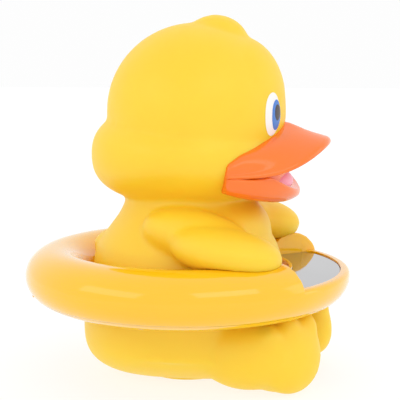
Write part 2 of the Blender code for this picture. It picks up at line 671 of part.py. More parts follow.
def make_battery_bay(steel, spring_steel, plastic, rubber, copper):
    """Two button cells, their contacts, the door with its seal and its captive screws."""
    for index, turn in enumerate((180 - CELL_ANGLE, 180 + CELL_ANGLE), 1):
        high = CELL_LOW + CELL_HEIGHT
        turned(f"battery_cell_{index}",
               [(0, CELL_LOW), (5.0 * MM, CELL_LOW), (5.2 * MM, CELL_LOW + 0.5 * MM),
                (CELL_RADIUS, CELL_LOW + 0.7 * MM), (CELL_RADIUS, high), (0, high)],
               steel, 24, polar(RING_RADIUS, turn))
    for name, start, stop in (("battery_contact_positive", 180 - 16.5, 180 - 2.0),
                              ("battery_contact_negative", 180 + 2.0, 180 + 16.5)):
        sector(name, 37.8 * MM, 41.8 * MM, start, stop, CELL_LOW + CELL_HEIGHT + 0.15 * MM,
               CELL_LOW + CELL_HEIGHT + 0.5 * MM, spring_steel, steps=5)
    half = DOOR_HALF_ANGLE
    door = cover_solid("battery_door", plastic)
    combine(door, sector("keep", 25 * MM, 55 * MM, 180 - half, 180 + half, 20 * MM, 30 * MM,
                         steps=16), "INTERSECT")
    combine(door, sector("contact_seat", 37.5 * MM, 42.1 * MM, 180 - 11.5, 180 + 11.5,
                         COVER_TOP - 0.5 * MM, 30 * MM, steps=8))
    for index, turn in enumerate((180 - DOOR_SCREW_ANGLE, 180 + DOOR_SCREW_ANGLE), 1):
        counterbore(door, turn)
        ring_screw(f"door_screw_{index}", turn, 32.5 * MM, spring_steel)
    sector("door_contact", 37.8 * MM, 41.8 * MM, 180 - 11, 180 + 11, COVER_TOP - 0.35 * MM,
           COVER_TOP + 0.55 * MM, spring_steel, steps=8)
    seal = sector("door_seal", 33.75 * MM, 45.85 * MM, 180 - half + 0.4, 180 + half - 0.4,
                  SEAL_LOW, SEAL_HIGH, rubber, steps=16)
    room = BAY_HALF_ANGLE + 0.4
    combine(seal, sector("room", 34.6 * MM, 45.0 * MM, 180 - room, 180 + room, 20 * MM, 30 * MM,
                         steps=14))
    for turn in (180 - DOOR_SCREW_ANGLE, 180 + DOOR_SCREW_ANGLE):
        combine(seal, disc("hole", 1.5 * MM, 20 * MM, 30 * MM, centre=polar(RING_RADIUS, turn),
                           segments=12))
    for name, side in (("battery_lead_positive", 1), ("battery_lead_negative", -1)):
        make_lead(name, side, copper)


def ring_screw(name, turn, tip, steel):
    """A small screw that sits in a counterbore of the cover or the door."""
    head_low = COVER_TOP - 0.9 * MM - GAP - 1.0 * MM
    return screw(name, polar(RING_RADIUS, turn), head_low, tip, 2.0 * MM, 0.9 * MM, 1.0 * MM, steel)


def make_lead(name, side, copper):
    """Insulated wire that runs round inside the ring from the battery bay to the board."""
    start, stop, count = 180 - BAY_HALF_ANGLE - 1.0, BOARD_HALF_ANGLE + 1.0, 30
    curve = bpy.data.curves.new(name, "CURVE")
    curve.dimensions = "3D"
    curve.bevel_depth = 0.6 * MM
    curve.bevel_resolution = 0
    curve.use_fill_caps = True
    curve.render_resolution_u = 0
    line = curve.splines.new("POLY")
    line.points.add(count - 1)
    for k in range(count):
        share = k / (count - 1)
        level = mix(31.0 * MM, 29.6 * MM, share)
        place = polar(43.6 * MM, side * mix(start, stop, share), level)
        line.points[k].co = (*place, 1)
    made = bpy.data.objects.new(name, curve)
    bpy.context.scene.collection.objects.link(made)
    curve.materials.append(copper)
    return made


def stand_on_ground():
    """Hang every piece on one empty that puts the object's lowest face at height 0."""
    assembly = bpy.data.objects.new("assembly", None)
    bpy.context.scene.collection.objects.link(assembly)
    assembly.location.z = -DATUM
    for piece in list(bpy.data.objects):
        if piece is not assembly:
            piece.parent = assembly


def build():
    clear_scene()
    vinyl = material("yellow_vinyl", YELLOW, 0.5)
    gloss = material("yellow_gloss", GLOSS_YELLOW, 0.12)
    orange = material("orange_gloss", ORANGE, 0.15)
    pink = material("pink_vinyl", (1.0, 0.4, 0.45), 0.35)
    enamel = material("eye_enamel", (0.95, 0.94, 0.9), 0.15)
    frame_plastic = material("white_plastic", (0.85, 0.84, 0.8), 0.4)
    steel = material("steel", STEEL, 0.3, 1.0)
    gold = material("contact_gold", (0.85, 0.65, 0.3), 0.25, 1.0)
    rubber = material("grey_rubber", (0.12, 0.12, 0.12), 0.7)
    glass = material("dark_window", (0.03, 0.03, 0.035), 0.05)
    crystal = material("display_panel", (0.35, 0.4, 0.36), 0.1)
    carbon = material("contact_strip", (0.05, 0.05, 0.06), 0.6)
    green = material("board_green", (0.02, 0.2, 0.07), 0.4)
    black = material("chip_black", (0.02, 0.02, 0.02), 0.4)
    red = material("lead_red", (0.5, 0.03, 0.02), 0.4)

    body = make_duck_body(vinyl)
    make_beak(orange)
    tongue_shape("tongue", 0, pink)
    make_eye("eye_right", -1, enamel, body)
    make_eye("eye_left", 1, enamel, body)
    make_seat_body(vinyl)
    make_plates(frame_plastic, steel)
    make_base(vinyl, steel)
    make_ring_shell(gloss)
    make_ring_cover(gloss)
    make_seals(rubber)
    for index, turn in enumerate(RING_SCREW_ANGLES, 1):
        ring_screw(f"ring_screw_{index}", turn, 33.5 * MM, steel)
    make_display(glass, crystal, carbon, green, black, steel)
    make_front_fittings(rubber, steel, gold)
    make_battery_bay(steel, steel, gloss, rubber, red)
    stand_on_ground()


build()
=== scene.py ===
"""Detailed look of the floating duck bath thermometer, built round its CAD frame."""

import math

import bmesh
import bpy
from mathutils import Matrix, Vector
from mathutils.bvhtree import BVHTree


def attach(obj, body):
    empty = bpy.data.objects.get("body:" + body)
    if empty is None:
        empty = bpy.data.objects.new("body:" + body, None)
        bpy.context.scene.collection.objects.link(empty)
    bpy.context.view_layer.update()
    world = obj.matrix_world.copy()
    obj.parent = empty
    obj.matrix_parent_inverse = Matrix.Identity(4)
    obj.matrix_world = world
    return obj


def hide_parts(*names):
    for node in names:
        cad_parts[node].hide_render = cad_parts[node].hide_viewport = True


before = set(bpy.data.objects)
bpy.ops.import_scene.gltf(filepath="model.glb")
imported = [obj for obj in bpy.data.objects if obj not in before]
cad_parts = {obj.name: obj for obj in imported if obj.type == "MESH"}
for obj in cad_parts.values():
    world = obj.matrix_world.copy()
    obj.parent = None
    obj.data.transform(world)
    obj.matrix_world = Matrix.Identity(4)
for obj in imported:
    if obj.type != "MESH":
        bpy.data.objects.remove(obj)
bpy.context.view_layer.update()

# Lengths are in mm unless a comment says metres, and levels are measured from a datum
# below the ground; settle() turns both into metres above the ground
MM = 0.001
ROOT = "float"                       # the body that nearly every piece belongs to
GROUND = 2.2                         # level of the ground
CENTRE = Vector((0, 0, 0.05))        # metres, what the lamps are aimed at

# Ring: centre of the tube, half width, half height, level of its centre
RING_R, RING_A, RING_B, RING_Z = 39.8, 9.14, 8.07, 32.7
RING_WALL = 1.6
SEAM, SEAM_GAP = 27.0, 0.02          # level of the seam between the halves, half its width
PER_DEGREE = RING_R * math.pi / 180  # arc length round the ring's centre line
FLANGE_IN, FLANGE_OUT, FLANGE_LOW, FLANGE_HIGH = 19.2, 31.5, 30.4, 32.4

# Display pocket: half angle, inner and outer radius
POCKET_ANGLE, POCKET_IN, POCKET_OUT = 40.0, 31.8, 46.2
POCKET_CORNER, POCKET_LIP = 3.4, 0.45
POCKET_FLOOR, PANE_TOP = 33.0, 34.2
POCKET_ROOF = 1.0                    # thickness under the pocket's floor
LIP_TOP = 34.65                      # flat lip round the pane
LIP_ROUND, INNER_ROUND = 1.5, 0.5    # rounds at the lip's outer and inner edge
RIM_ROUND = 0.2                      # round where the lip drops to the pane
PANE_GAP, PANE_EDGE = 0.1, 0.12      # gap round the pane, chamfer of its upper edge

# Screws, battery bay and door; angles are from the front
RING_SCREWS = (48, 98, 145, -145, -98, -48)
DOOR_ANGLE, DOOR_SCREW = 26.4, 22.9
DOOR_SCREWS = (180 - DOOR_SCREW, 180 + DOOR_SCREW)
BAY_ANGLE, BAY_IN, BAY_OUT, BAY_ROOF = 17.9, 33.7, 45.9, 34.2
BORE_LOW, BORE_HIGH = 20, 30         # levels that a bore through the lower shell runs between
SHANK_HOLE, HEAD_SEAT, HEAD_LEVEL = 1.5, 2.4, 25.8
SCREW_LOW = 24.5                     # level of the underside of a screw's head

# Fittings under the front of the ring, at these angles
BUTTON_AT, PROBE_AT, PINS_AT = 0, -12.5, (10.5, 15.5)
BUTTON_BORE, PROBE_BORE, PIN_BORE = 3.1, 2.0, 1.0

# Duck
HEAD, HEAD_SEMI = (0, -2.7, 81.2), (26.6, 26.7, 26.1)
CHEEK, CHEEK_SEMI = (0, 0.2, 68.5), (28.6, 28.6, 15.0)
WING_RISE, WING_LEAD = 2.2, 1.4      # the left wing is held this much higher and further ahead
FOOT_LEAD = 2.4                      # the left foot is set this far ahead of the right
SKIN_VOXEL = 0.75                    # step of the grid that the skins are fused on
BED_GAP = 0.12                       # gap between a skin and the ring
BODY_LOW, SEAT_HIGH = 32.55, 30.2    # where the two skins end
BASE_HOLE, BASE_DEPTH = 14.0, 4.0
BEAK_ANGLE, BEAK_STEPS, BEAK_ROOT = 64, 40, 16.0
TONGUE, TONGUE_SEMI = (0, -26.5, 60.8), (10.8, 5.2, 3.5)
TONGUE_ROOT, TONGUE_GAP = 27.9, 0.03
THROAT_LOW, THROAT_HIGH = 50, 75
EYE_SPOKES, EYE_RINGS = 40, 5
EYE_EDGE = 0.03                      # how far the paint thins at its rim


# ---------------------------------------------------------------- materials

def noise_node(tree, scale, detail=3.0, rough=0.5):
    place = tree.nodes.new("ShaderNodeTexCoord")
    made = tree.nodes.new("ShaderNodeTexNoise")
    made.inputs["Scale"].default_value = scale
    made.inputs["Detail"].default_value = detail
    made.inputs["Roughness"].default_value = rough
    tree.links.new(place.outputs["Object"], made.inputs["Vector"])
    return made


def ramp_node(tree, source, stops):
    made = tree.nodes.new("ShaderNodeValToRGB")
    ramp = made.color_ramp
    while len(ramp.elements) < len(stops):
        ramp.elements.new(0.5)
    for element, (spot, colour) in zip(ramp.elements, stops):
        element.position = spot
        element.color = (*colour, 1)
    tree.links.new(source, made.inputs["Fac"])
    return made.outputs["Color"]


def surface(name, colour, other, rough, metallic=0.0, colour_scale=40, grain_scale=900,
            grain=0.02, grain_depth=0.02, rough_spread=0.06, coat=0.0, subsurface=0.0):
    """A material with a soft colour drift, uneven roughness and a fine grain."""
    made = bpy.data.materials.new(name)
    made.use_nodes = True
    tree = made.node_tree
    shader = tree.nodes["Principled BSDF"]
    drift = noise_node(tree, colour_scale)
    tone = ramp_node(tree, drift.outputs["Fac"], [(0.35, colour), (0.7, other)])
    tree.links.new(tone, shader.inputs["Base Color"])
    wear = noise_node(tree, colour_scale * 6, 5.0)
    spread = tree.nodes.new("ShaderNodeMapRange")
    spread.inputs["To Min"].default_value = max(0.0, rough - rough_spread)
    spread.inputs["To Max"].default_value = rough + rough_spread
    tree.links.new(wear.outputs["Fac"], spread.inputs["Value"])
    tree.links.new(spread.outputs["Result"], shader.inputs["Roughness"])
    fine = noise_node(tree, grain_scale, 2.0)
    bump = tree.nodes.new("ShaderNodeBump")
    bump.inputs["Strength"].default_value = grain
    bump.inputs["Distance"].default_value = grain_depth * MM
    tree.links.new(fine.outputs["Fac"], bump.inputs["Height"])
    tree.links.new(bump.outputs["Normal"], shader.inputs["Normal"])
    shader.inputs["Metallic"].default_value = metallic
    shader.inputs["Coat Weight"].default_value = coat
    shader.inputs["Coat Roughness"].default_value = 0.06
    if subsurface:
        shader.inputs["Subsurface Weight"].default_value = subsurface
        shader.inputs["Subsurface Radius"].default_value = (0.004, 0.002, 0.0006)
        shader.inputs["Subsurface Scale"].default_value = 1.0
    return made


# ---------------------------------------------------------------- shapes

def polar(radius, degrees, height=0.0):
    turn = math.radians(degrees)
    return Vector((radius * math.sin(turn), -radius * math.cos(turn), height))


def mix(low, high, share):
    return low + (high - low) * share


def settle(name, work, paint, body=ROOT, sharp=35, replaces=()):
    """Turn a bmesh in mm into a piece in metres that rides on its body; uses the bmesh up."""
    bmesh.ops.recalc_face_normals(work, faces=work.faces)
    mesh = bpy.data.meshes.new(name)
    work.to_mesh(mesh)
    work.free()
    mesh.transform(Matrix.Scale(MM, 4) @ Matrix.Translation((0, 0, -GROUND)))
    made = bpy.data.objects.new(name, mesh)
    bpy.context.scene.collection.objects.link(made)
    mesh.shade_smooth()
    mesh.set_sharp_from_angle(angle=math.radians(sharp))
    mesh.materials.append(paint)
    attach(made, body)
    if replaces:
        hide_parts(*replaces)


def loose(work):
    """A bare object in mm, for modifiers, outside the finished scene."""
    bmesh.ops.recalc_face_normals(work, faces=work.faces)
    mesh = bpy.data.meshes.new("work")
    work.to_mesh(mesh)
    work.free()
    made = bpy.data.objects.new("work", mesh)
    bpy.context.scene.collection.objects.link(made)
    return made


def applied(made):
    """The mesh of a loose object with its modifiers applied, as a bmesh; uses the object up."""
    bpy.context.view_layer.update()
    graph = bpy.context.evaluated_depsgraph_get()
    work = bmesh.new()
    work.from_object(made, graph)
    bpy.data.objects.remove(made)
    return work


def cut(work, tool):
    """One bmesh less another; uses both up."""
    body, other = loose(work), loose(tool)
    change = body.modifiers.new("cut", "BOOLEAN")
    change.operation = "DIFFERENCE"
    change.object = other
    result = applied(body)
    bpy.data.objects.remove(other)
    return result


def lathe(work, profile, segments, centre=(0, 0), start=0.0, stop=360.0):
    """Turn a closed (radius, height) outline about +Z, whole or between two angles."""
    whole = stop - start >= 360
    steps = segments if whole else segments + 1
    rows = []
    for radius, height in profile:
        if radius < 1e-6 and whole:
            rows.append([work.verts.new((centre[0], centre[1], height))])
        else:
            rows.append([work.verts.new(polar(radius, start + (stop - start) * k / segments, height)
                                        + Vector((centre[0], centre[1], 0)))
                         for k in range(steps)])
    for here, there in zip(rows, rows[1:] + rows[:1]):
        for k in range(segments):
            after = (k + 1) % steps
            if len(here) == 1 and len(there) == 1:
                continue
            if len(here) == 1:
                work.faces.new((here[0], there[k], there[after]))
            elif len(there) == 1:
                work.faces.new((here[k], there[0], here[after]))
            else:
                work.faces.new((here[k], there[k], there[after], here[after]))
    if not whole:
        work.faces.new([row[0] for row in rows][::-1])
        work.faces.new([row[-1] for row in rows])
    return work


def turned(profile, segments=48, centre=(0, 0)):
    return lathe(bmesh.new(), profile, segments, centre)


def blob(work, centre, semi, turn=(0, 0, 0), squareness=2.0, detail=4):
    """Add an ellipsoid; a squareness above 2 makes its section across X squarer."""
    place = (Matrix.Translation(Vector(centre))
             @ Matrix.Rotation(math.radians(turn[2]), 4, "Z")
             @ Matrix.Rotation(math.radians(turn[1]), 4, "Y")
             @ Matrix.Rotation(math.radians(turn[0]), 4, "X"))
    made = bmesh.ops.create_icosphere(work, subdivisions=detail, radius=1.0)
    for vertex in made["verts"]:
        way = vertex.co.normalized()
        side = (abs(way.y) ** squareness + abs(way.z) ** squareness) ** (2 / squareness)
        reach = 1 / math.sqrt(way.x ** 2 + side)
        vertex.co = place @ Vector([semi[k] * way[k] * reach for k in range(3)])


def fused(work, voxel, smooth_steps):
    """Overlapping closed shapes as one even, smooth skin."""
    made = loose(work)
    fuse = made.modifiers.new("fuse", "REMESH")
    fuse.mode = "VOXEL"
    fuse.voxel_size = voxel
    even = made.modifiers.new("even", "SMOOTH")
    even.factor = 0.5
    even.iterations = smooth_steps
    return applied(made)


def clear_of_ring(work, gap):
    """Push a skin out of the ring's tube, so that it beds against it."""
    for vertex in work.verts:
        radius = math.hypot(vertex.co.x, vertex.co.y)
        across = (radius - RING_R) / (RING_A + gap)
        rise = (vertex.co.z - RING_Z) / (RING_B + gap)
        reach = math.hypot(across, rise)
        if 1e-6 < reach < 1:
            new_radius = RING_R + (RING_A + gap) * across / reach
            vertex.co.x *= new_radius / radius
            vertex.co.y *= new_radius / radius
            vertex.co.z = RING_Z + (RING_B + gap) * rise / reach


def trim(work, level, keep_above):
    """Cut a skin off flat at a level and close it."""
    way = Vector((0, 0, 1 if keep_above else -1))
    everything = work.verts[:] + work.edges[:] + work.faces[:]
    found = bmesh.ops.bisect_plane(work, geom=everything, plane_co=(0, 0, level), plane_no=-way,
                                   clear_outer=True)
    rim = [item for item in found["geom_cut"] if isinstance(item, bmesh.types.BMEdge)]
    bmesh.ops.contextual_create(work, geom=rim)
    bmesh.ops.triangulate(work, faces=[face for face in work.faces if len(face.verts) > 4])


# ---------------------------------------------------------------- the duck

def trunk_outline():
    """Outline of the trunk from the ring up into the head."""
    points = [(28.8, 30), (28.6, 34), (28.3, 38), (26.9, 42), (23.7, 46.5), (20.7, 50.5),
              (18.7, 54.5), (18.3, 60), (17.0, 68)]
    return [(0, points[0][1])] + points + [(0, points[-1][1])]


def duck_skin():
    """Upper skin: head, cheeks, forehead, tuft, chest, tail and wings."""
    work = turned(trunk_outline(), 96)
    blob(work, HEAD, HEAD_SEMI, detail=5)
    blob(work, CHEEK, CHEEK_SEMI, squareness=2.5, detail=5)
    blob(work, (0, -14.8, 84.5), (20.0, 14.4, 19.0), detail=5)
    blob(work, (0, -8.4, 100.4), (8.5, 10.2, 9.2))
    blob(work, (0, -4.0, 45.0), (21.0, 21.5, 15.0))
    blob(work, (0, 23.0, 40.5), (8.0, 6.0, 4.5))
    for side in (-1, 1):
        up, ahead = (WING_RISE, WING_LEAD) if side > 0 else (0.0, 0.0)
        blob(work, (side * 20.5, -7.0 - ahead, 46.0 + up), (9.5, 17.0, 8.0), (14, 0, 0))
        blob(work, (side * 27.3, -15.3 - ahead, 43.6 + up), (11.5, 15.8, 6.6), (10, 0, 0),
             squareness=2.3)
    work = fused(work, SKIN_VOXEL, 16)
    clear_of_ring(work, BED_GAP)
    trim(work, BODY_LOW, True)
    return work


def seat_skin():
    """Lower skin: the bottom with its legs, webbed feet and toes, and the plug's hole."""
    work = bmesh.new()
    blob(work, (0, 0.2, 16.6), (29.5, 31.6, 15.4), squareness=3.0, detail=5)
    lathe(work, [(0, 12), (29.4, 12), (29.6, 30.8), (0, 30.8)], 96)
    for side in (-1, 1):
        blob(work, (side * 19.8, -19.5, 14.0), (10.0, 16.0, 11.2), (0, 0, side * 18))
        blob(work, (side * 17.0, -30.0, 7.4), (10.0, 6.5, 5.6), (0, 0, side * 40))
        ahead = FOOT_LEAD if side > 0 else 0.0
        blob(work, (side * 19.2, -32.4 - ahead, 12.9), (11.4, 6.4, 10.9), (-6, 0, side * 40),
             squareness=2.3)
        for x, y, low, high in ((25.4, -27.0, 12.0, 23.6), (20.4, -31.8, 12.0, 26.0),
                                (14.8, -36.0, 12.0, 25.2)):
            blob(work, (side * x, y - ahead, (low + high) / 2), (3.9, 4.3, (high - low) / 2))
    work = fused(work, SKIN_VOXEL, 14)
    clear_of_ring(work, BED_GAP)
    trim(work, GROUND, True)
    trim(work, SEAT_HIGH, False)
    top = GROUND + BASE_DEPTH
    return cut(work, turned([(0, 0), (BASE_HOLE, 0), (BASE_HOLE, top), (0, top)], 96))


def beak_outline(side):
    """Closed (radius, height) outline of the open bill; side is 0 in front, 1 at a corner."""
    front = math.cos(side * math.pi / 2)
    shut = min(1.0, max(0.0, (side - 0.62) / 0.2))
    brow = 78.6 - 9.6 * side ** 0.85 - 1.6 * max(0.0, side - 0.85) / 0.15
    chin = 54.9 + 4.3 * side ** 2
    lip = mix(0.35, 1.0, front)
    rim, rim_level = mix(28.5, 40.1, front ** 1.8), mix(64.1, 72.7, front ** 4.5)
    jaw = mix(28.4, 31.2, front ** 0.6)
    jaw_level = min(rim_level - 2 * lip - 0.05, mix(63.4, 58.1, max(0.0, (front - 0.62) / 0.38)))
    roof, floor = mix(63.8, 65.6, front), mix(63.2, 60.3, front)
    throat = mix(mix(27.9, 27.4, front), jaw - 1.15 * lip, shut)
    return [
        (BEAK_ROOT, brow), (24.0, brow + 0.1),
        (27.6, brow + 0.1),
        (mix(28.3, 32.5, front), mix(brow, rim_level, mix(0.5, 0.58, front)) + 0.8 * front),
        (rim - 1.9 * lip, rim_level + 1.75 * lip),
        (rim - 0.7 * lip, rim_level + 1.35 * lip),
        (rim, rim_level + 0.4 * lip),
        (rim - 0.05 * lip, rim_level - 0.6 * lip),
        (rim - 1.0 * lip, rim_level - 1.1 * lip),
        (mix(throat, rim, 0.45), mix(roof, rim_level - mix(0.5, 1.0, front), 0.5)),
        (throat, roof),
        (throat - 0.1, (roof + floor) / 2),
        (throat, floor),
        (jaw - 1.1 * lip, jaw_level + 0.9 * lip),
        (jaw - 0.2 * lip, jaw_level + 0.5 * lip),
        (jaw, jaw_level - 0.3 * lip),
        (jaw - 0.2 * lip, jaw_level - 1.3 * lip),
        (mix(28.2, 30.3, front), mix(chin + 1.2, chin + 1.3, front)),
        (mix(27.9, 28.2, front), chin + 0.1),
        (24.0, chin), (BEAK_ROOT, chin),
    ]


def bill():
    """Open bill: its outline swept round the face from one corner to the other."""
    work = bmesh.new()
    rows = []
    for k in range(BEAK_STEPS + 1):
        share = 2 * k / BEAK_STEPS - 1
        rows.append([work.verts.new(polar(radius, BEAK_ANGLE * share, height)
                                    + Vector((0, HEAD[1], 0)))
                     for radius, height in beak_outline(abs(share))])
    count = len(rows[0])
    for here, there in zip(rows, rows[1:]):
        for k in range(count):
            work.faces.new((here[k], here[(k + 1) % count], there[(k + 1) % count], there[k]))
    work.faces.new(rows[0][::-1])
    work.faces.new(rows[-1])
    made = loose(work)
    finer = made.modifiers.new("finer", "SUBSURF")
    finer.levels = finer.render_levels = 1
    return applied(made)


def tongue_shape(grow):
    """The tongue in front of the throat's wall, swollen by a gap on every side."""
    work = bmesh.new()
    blob(work, TONGUE, [size + grow for size in TONGUE_SEMI], detail=5)
    root = TONGUE_ROOT - grow
    return cut(work, turned([(0, THROAT_LOW), (root, THROAT_LOW), (root, THROAT_HIGH),
                             (0, THROAT_HIGH)], 128))


def eye_patch(skin, side, angle, level, half_width, half_height, low, high):
    """A thin oval of paint that lies on the head."""
    heart = Vector((0, HEAD[1], level))
    work = bmesh.new()
    layers = []
    for lift in (low, high):
        rows = []
        for ring in range(EYE_RINGS + 1):
            row = []
            share = ring / EYE_RINGS
            height = lift if ring < EYE_RINGS or lift == low else lift - EYE_EDGE
            for spoke in range(EYE_SPOKES if ring else 1):
                turn = 2 * math.pi * spoke / EYE_SPOKES
                across = half_width * share * math.cos(turn)
                rise = half_height * share * math.sin(turn)
                way = polar(1.0, side * (angle + math.degrees(across / HEAD_SEMI[0])))
                way = (way * HEAD_SEMI[0] + Vector((0, 0, rise))).normalized()
                spot = skin.ray_cast(heart + way * 80, -way)[0]
                row.append(work.verts.new(spot + way * height))
            rows.append(row)
        layers.append(rows)
    for rows in layers:
        for k in range(EYE_SPOKES):
            after = (k + 1) % EYE_SPOKES
            work.faces.new((rows[0][0], rows[1][k], rows[1][after]))
            for here, there in zip(rows[1:], rows[2:]):
                work.faces.new((here[k], there[k], there[after], here[after]))
    under, over = layers[0][-1], layers[1][-1]
    for k in range(EYE_SPOKES):
        after = (k + 1) % EYE_SPOKES
        work.faces.new((under[k], over[k], over[after], under[after]))
    return work


# ---------------------------------------------------------------- the ring

def tube_turn(level, wall=0.0):
    """Angle round the tube's section at which it reaches a level on its outer side."""
    return math.asin((level - RING_Z) / (RING_B - wall))


def pocket_edges(arc):
    """Outer and inner radius of the pocket at an arc distance from its end wall, rounded."""
    pull = 0.0
    if arc < POCKET_CORNER:
        pull = POCKET_CORNER - math.sqrt(POCKET_CORNER ** 2 - (POCKET_CORNER - max(arc, 0.0)) ** 2)
    return POCKET_OUT - pull, POCKET_IN


def ring_stations():
    """(angle, kind, depth) of each section round the upper shell.

    A section lies in the pocket, on the small lip at its end, or outside it; the depth
    is how far the end lip's round has come down there.
    """
    half = []
    for k in range(19):
        half.append((mix(0.0, 34.6, k / 18), "in", 0.0))
    for arc in (3.2, 2.7, 2.2, 1.75, 1.35, 1.0, 0.7, 0.45, 0.25, 0.1, 0.02):
        half.append((POCKET_ANGLE - arc / PER_DEGREE, "in", 0.0))
    for arc in (0.0, 0.06, 0.14, 0.25, 0.4):
        depth = POCKET_LIP - math.sqrt(max(0.0, POCKET_LIP ** 2 - (POCKET_LIP - arc) ** 2))
        half.append((POCKET_ANGLE + arc / PER_DEGREE, "lip", depth))
    half.append((POCKET_ANGLE + POCKET_LIP / PER_DEGREE, "out", 0.0))
    for k in range(1, 71):
        half.append((mix(POCKET_ANGLE + 1.0, 180.0, k / 70), "out", 0.0))
    other = [(-angle, kind, depth) for angle, kind, depth in half[1:-1]]
    return other[::-1] + half


def ring_profile(angle, kind, depth):
    """Outline of the upper shell at one station: outside, over the top, and back inside."""
    arc = (POCKET_ANGLE - abs(angle)) * PER_DEGREE
    outer, inner = pocket_edges(arc if kind == "in" else 0.0)
    low = tube_turn(SEAM + SEAM_GAP)
    shoulder = tube_turn(LIP_TOP - LIP_ROUND)
    across = RING_A * math.cos(shoulder)
    side = []
    for k in range(17):
        turn = mix(low, shoulder, k / 16)
        side.append((RING_A * math.cos(turn), RING_Z + RING_B * math.sin(turn)))

    halves = []
    for end, sign in ((outer, 1), (inner, -1)):
        reach = sign * (end - RING_R)
        curve = LIP_ROUND if sign > 0 else INNER_ROUND
        top = []
        for k in range(1, 7):
            bend = math.pi / 2 * k / 6
            top.append((across - curve * (1 - math.cos(bend)),
                        LIP_TOP - curve * (1 - math.sin(bend))))
        for k in (1, 2):
            top.append((mix(across - curve, reach + RIM_ROUND, k / 2), LIP_TOP))
        for k in (1, 2, 3):
            bend = math.pi / 2 * k / 3
            top.append((reach + RIM_ROUND * (1 - math.sin(bend)),
                        LIP_TOP - RIM_ROUND * (1 - math.cos(bend))))
        top += [(reach, mix(LIP_TOP, POCKET_FLOOR, 0.6)), (reach, POCKET_FLOOR)]
        halves.append([(RING_R + sign * share, level) for share, level in top])
    steps = 22
    middle = [(mix(outer, inner, k / steps), POCKET_FLOOR) for k in range(1, steps)]
    filled = halves[0] + middle + halves[1][::-1]
    if kind != "in":
        away = min(1.0, max(0.0, (abs(angle) - POCKET_ANGLE - 1.0) / 12.0))
        laid = []
        for k, (radius, level) in enumerate(filled):
            near = math.acos((radius - RING_R) / RING_A)
            even = mix(shoulder, math.pi - shoulder, (k + 1) / (len(filled) + 1))
            turn = mix(near, even, away)
            level = RING_Z + RING_B * math.sin(turn)
            fade = min(1.0, max(0.0, (level - LIP_TOP + LIP_ROUND) / 2.0))
            laid.append((RING_R + RING_A * math.cos(turn), level - depth * fade))
        filled = laid
    points = [(RING_R + share, level) for share, level in side] + filled
    points += [(RING_R - share, level) for share, level in reversed(side)]
    inner_low = tube_turn(SEAM + SEAM_GAP, RING_WALL)
    for k in range(25):
        turn = mix(math.pi - inner_low, inner_low, k / 24)
        level = RING_Z + (RING_B - RING_WALL) * math.sin(turn)
        if abs(angle) < POCKET_ANGLE + 0.8:
            level = min(level, POCKET_FLOOR - POCKET_ROOF)
        points.append((RING_R + (RING_A - RING_WALL) * math.cos(turn), level))
    return points


def ring_upper():
    """Upper shell with the inner flange and the block that holds the battery bay."""
    work = bmesh.new()
    rows = [[work.verts.new(polar(radius, angle, level))
             for radius, level in ring_profile(angle, kind, depth)]
            for angle, kind, depth in ring_stations()]
    count = len(rows[0])
    for here, there in zip(rows, rows[1:] + rows[:1]):
        for k in range(count):
            work.faces.new((here[k], here[(k + 1) % count], there[(k + 1) % count], there[k]))
    lathe(work, [(FLANGE_IN, FLANGE_LOW), (FLANGE_OUT, FLANGE_LOW), (FLANGE_OUT, FLANGE_HIGH),
                 (FLANGE_IN, FLANGE_HIGH)], 128)
    block = sector(BAY_IN - 1.6, BAY_OUT + 1.4, 180 - DOOR_ANGLE, 180 + DOOR_ANGLE,
                   SEAM + 0.5, BAY_ROOF + 1.2, 40)
    block = cut(block, sector(BAY_IN, BAY_OUT, 180 - BAY_ANGLE, 180 + BAY_ANGLE,
                              BORE_LOW, BAY_ROOF, 28))
    for turn in DOOR_SCREWS:
        block = cut(block, turned([(0, BORE_LOW), (1.2, BORE_LOW), (1.2, 33.5), (0, 33.5)], 32,
                                  polar(RING_R, turn)[:2]))
    mesh = bpy.data.meshes.new("block")
    block.to_mesh(mesh)
    block.free()
    work.from_mesh(mesh)
    bpy.data.meshes.remove(mesh)
    return work


def sector(inner, outer, start, stop, low, high, steps):
    return lathe(bmesh.new(), [(inner, low), (outer, low), (outer, high), (inner, high)],
                 steps, start=start, stop=stop)


def lower_outline(count=22):
    """Outline of the ring below the seam: a curved tray."""
    top = SEAM - SEAM_GAP
    low = tube_turn(top)
    points = []
    for k in range(count + 1):
        turn = mix(low, -math.pi - low, k / count)
        points.append((RING_R + RING_A * math.cos(turn), RING_Z + RING_B * math.sin(turn)))
    return points


def ring_lower(start, stop, steps):
    return lathe(bmesh.new(), lower_outline(), steps, start=start, stop=stop)


def bored(work, spots):
    """Cut round holes and seats: (centre, radius, from level, to level)."""
    for centre, radius, low, high in spots:
        work = cut(work, turned([(0, low), (radius, low), (radius, high), (0, high)], 48,
                                centre[:2]))
    return work


def screw_seats(angles):
    """A shank hole and a head seat for each screw, for bored()."""
    spots = []
    for turn in angles:
        spots.append((polar(RING_R, turn), SHANK_HOLE, BORE_LOW, BORE_HIGH))
        spots.append((polar(RING_R, turn), HEAD_SEAT, BORE_LOW, HEAD_LEVEL))
    return spots


